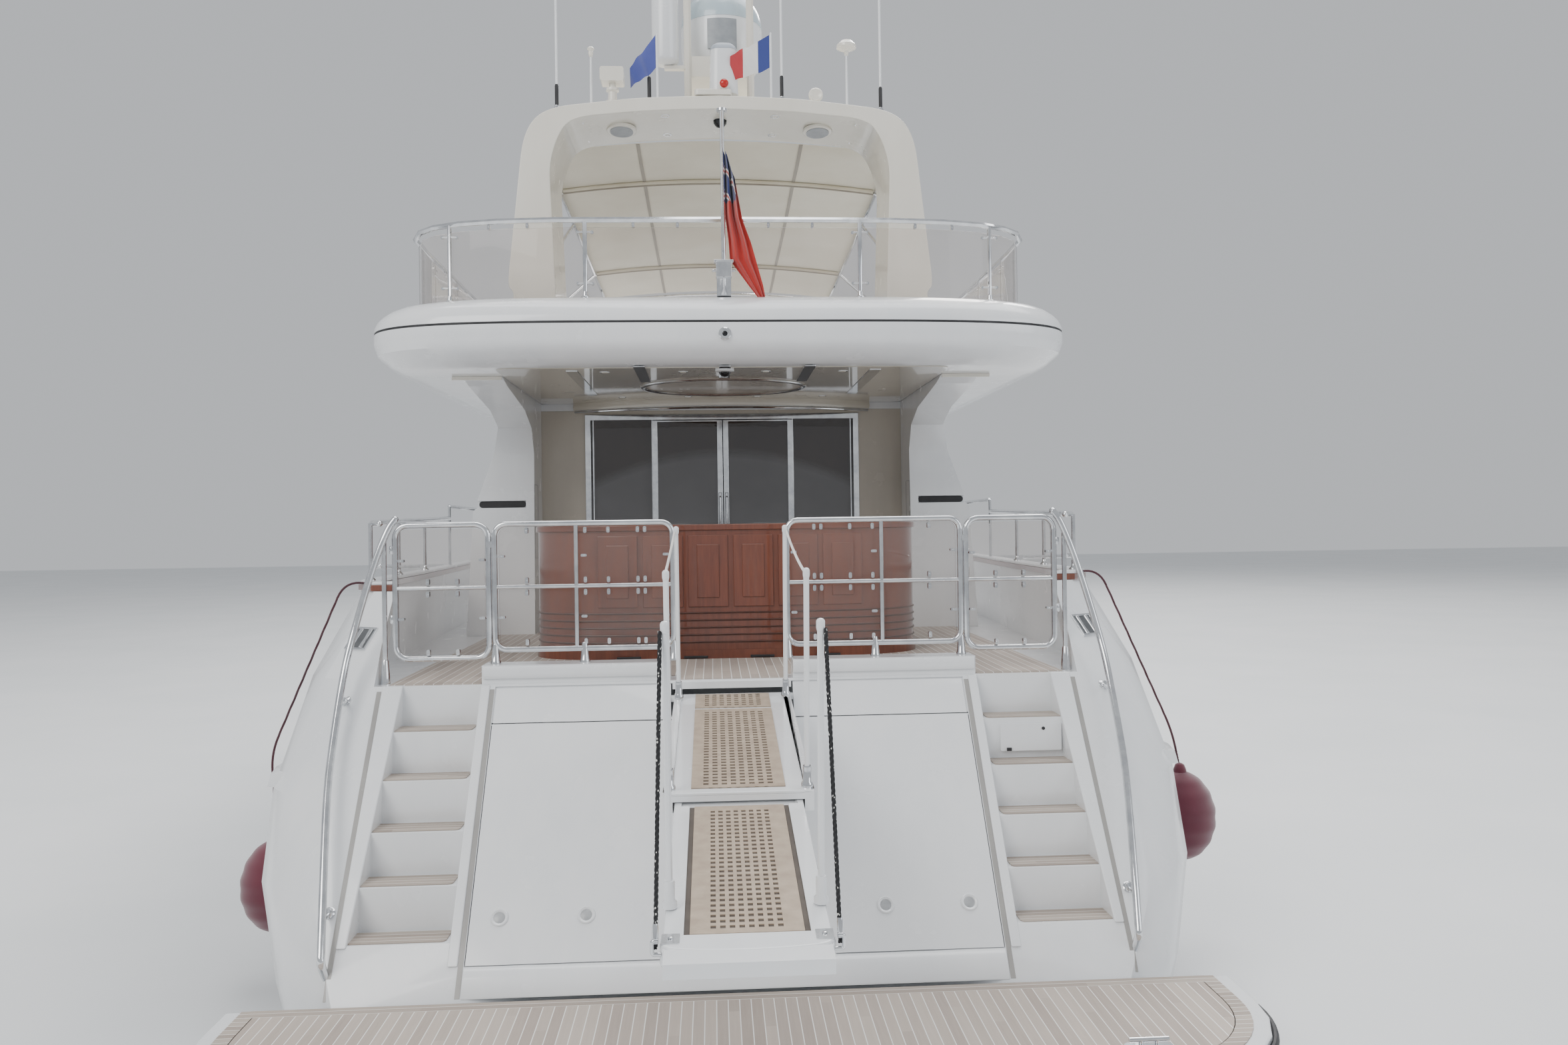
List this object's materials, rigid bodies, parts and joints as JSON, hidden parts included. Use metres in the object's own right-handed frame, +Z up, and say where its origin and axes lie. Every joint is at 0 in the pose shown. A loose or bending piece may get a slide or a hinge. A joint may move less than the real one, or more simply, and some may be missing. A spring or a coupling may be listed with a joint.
{
  "type": "motor yacht",
  "caption": "Twin-screw motor yacht with flybridge, radar arch, transom stairs, bathing platform and telescopic gangway.",
  "frame": {"origin": "on the waterline, amidships, in the centre plane", "axes": "+Y towards the bow, +X to starboard, +Z up"},
  "size_m": [6.572, 27.0818, 10.78],
  "materials": {
    "gelcoat": "gloss",
    "teak": "matte",
    "mahogany": "gloss",
    "bronze": "satin",
    "dark_glass": "gloss",
    "clear_panel": "gloss",
    "steel": "polished",
    "vinyl": "matte",
    "canvas": "matte",
    "ensign_red": "matte",
    "fender_maroon": "matte"
  },
  "bodies": {
    "yacht": {"hull": "gelcoat", "swim_platform": "teak", "bulwark_cap": "mahogany", "shaft_port": "bronze", "shaft_stbd": "bronze", "flybridge_deck": "gelcoat", "saloon_roof": "gelcoat", "saloon_front": "gelcoat", "saloon_side_port": "gelcoat", "saloon_side_stbd": "gelcoat", "side_glass_port": "dark_glass", "side_glass_stbd": "dark_glass", "windscreen_glass": "dark_glass", "saloon_bulkhead": "gelcoat", "saloon_door_frame": "steel", "wing_plate_port": "gelcoat", "wing_plate_stbd": "gelcoat", "cockpit_rail_port": "steel", "rail_glass_port": "clear_panel", "cockpit_rail_stbd": "steel", "rail_glass_stbd": "clear_panel", "stair_rail_port": "steel", "stair_rail_stbd": "steel", "bow_rail": "steel", "cockpit_bar": "mahogany", "cockpit_sofa": "vinyl", "cockpit_table": "mahogany", "fly_rail": "steel", "fly_rail_glass": "clear_panel", "radar_arch": "gelcoat", "bimini_canvas": "canvas", "bimini_frame": "steel", "mast": "gelcoat", "sat_dome": "gelcoat", "antenna_dome": "gelcoat", "searchlight": "gelcoat", "flagpole": "steel", "ensign": "ensign_red", "fly_sofa": "vinyl", "fly_table": "mahogany", "helm_console": "gelcoat", "helm_seat": "vinyl", "fly_windscreen": "dark_glass", "sunpad": "vinyl", "windlass": "steel", "anchor": "steel", "fender_port": "fender_maroon", "fender_stbd": "fender_maroon"},
    "propeller_port": {"propeller_port": "bronze"},
    "propeller_stbd": {"propeller_stbd": "bronze"},
    "rudder_port": {"rudder_port": "bronze"},
    "rudder_stbd": {"rudder_stbd": "bronze"},
    "garage_door": {"garage_door": "gelcoat"},
    "gangway_inner": {"passerelle_stage_1": "gelcoat"},
    "gangway_outer": {"passerelle_stage_2": "gelcoat"},
    "gate_port": {"gate_port": "steel"},
    "gate_stbd": {"gate_stbd": "steel"},
    "door_port": {"door_leaf_port": "steel"},
    "door_stbd": {"door_leaf_stbd": "steel"}
  },
  "joints": [
    {"name": "propeller_port_spin", "type": "hinge", "parent": "yacht", "child": "propeller_port", "pos_m": [-1.15, -10.15, -1.01], "axis": [0, 0.994, 0.1093], "continuous": true},
    {"name": "rudder_port_turn", "type": "hinge", "parent": "yacht", "child": "rudder_port", "pos_m": [-1.15, -10.9, -1], "axis": [0, 0, 1], "range_deg": [-35, 35]},
    {"name": "propeller_stbd_spin", "type": "hinge", "parent": "yacht", "child": "propeller_stbd", "pos_m": [1.15, -10.15, -1.01], "axis": [0, 0.994, 0.1093], "continuous": true},
    {"name": "rudder_stbd_turn", "type": "hinge", "parent": "yacht", "child": "rudder_stbd", "pos_m": [1.15, -10.9, -1], "axis": [0, 0, 1], "range_deg": [-35, 35]},
    {"name": "garage_door_lift", "type": "hinge", "parent": "yacht", "child": "garage_door", "pos_m": [0, -10.78577, 1.744], "axis": [-1, 0, 0], "range_deg": [0, 45]},
    {"name": "gangway_tilt", "type": "hinge", "parent": "yacht", "child": "gangway_inner", "pos_m": [0, -10.64, 1.872], "axis": [-1, 0, 0], "range_deg": [-5, 30]},
    {"name": "gangway_telescope", "type": "slide", "parent": "gangway_inner", "child": "gangway_outer", "axis": [0, 0.9921, 0.1253], "range_m": [0, 1.1]},
    {"name": "gate_port_swing", "type": "hinge", "parent": "yacht", "child": "gate_port", "pos_m": [-2.23, -10.5, 2.5], "axis": [0, 0, 1], "range_deg": [0, 90]},
    {"name": "gate_stbd_swing", "type": "hinge", "parent": "yacht", "child": "gate_stbd", "pos_m": [2.23, -10.5, 2.5], "axis": [0, 0, -1], "range_deg": [0, 90]},
    {"name": "door_port_slide", "type": "slide", "parent": "yacht", "child": "door_port", "axis": [-1, 0, 0], "range_m": [0, 0.6]},
    {"name": "door_stbd_slide", "type": "slide", "parent": "yacht", "child": "door_stbd", "axis": [1, 0, 0], "range_m": [0, 0.6]}
  ],
  "couplings": [
    {"joint": "rudder_stbd_turn", "follows": "rudder_port_turn", "ratio": 1}
  ]
}
